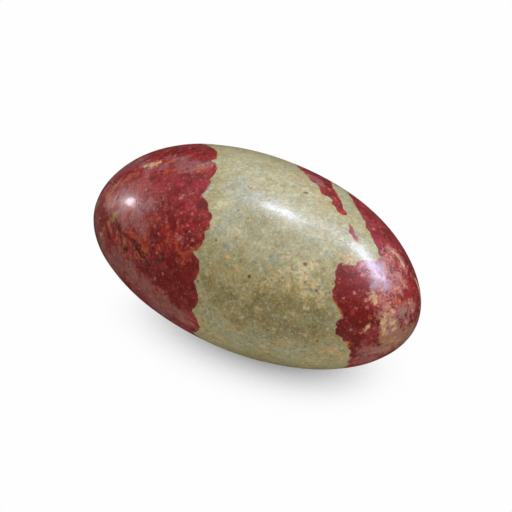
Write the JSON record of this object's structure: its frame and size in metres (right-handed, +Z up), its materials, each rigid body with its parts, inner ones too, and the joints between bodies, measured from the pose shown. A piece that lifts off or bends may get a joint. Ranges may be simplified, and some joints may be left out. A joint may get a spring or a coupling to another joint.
{
  "type": "shiva lingam stone",
  "caption": "Smooth polished egg-like river stone, grey-green with jagged crimson markings, lying on a small worn flat.",
  "frame": {"origin": "middle of the stone's footprint, on the surface it lies on, which is the plane of its worn flat", "axes": "+X along the long axis towards the slimmer, veined end; +Z up; -Y is the side with the full width of grey-green between the red markings"},
  "size_m": [0.0702, 0.0374, 0.036],
  "materials": {
    "polished_jasper": "hand-polished fine-grained quartz rock, grey-green with crimson iron-stained patches, semi-gloss"
  },
  "bodies": {
    "root": {"stone": "polished_jasper"}
  },
  "joints": []
}
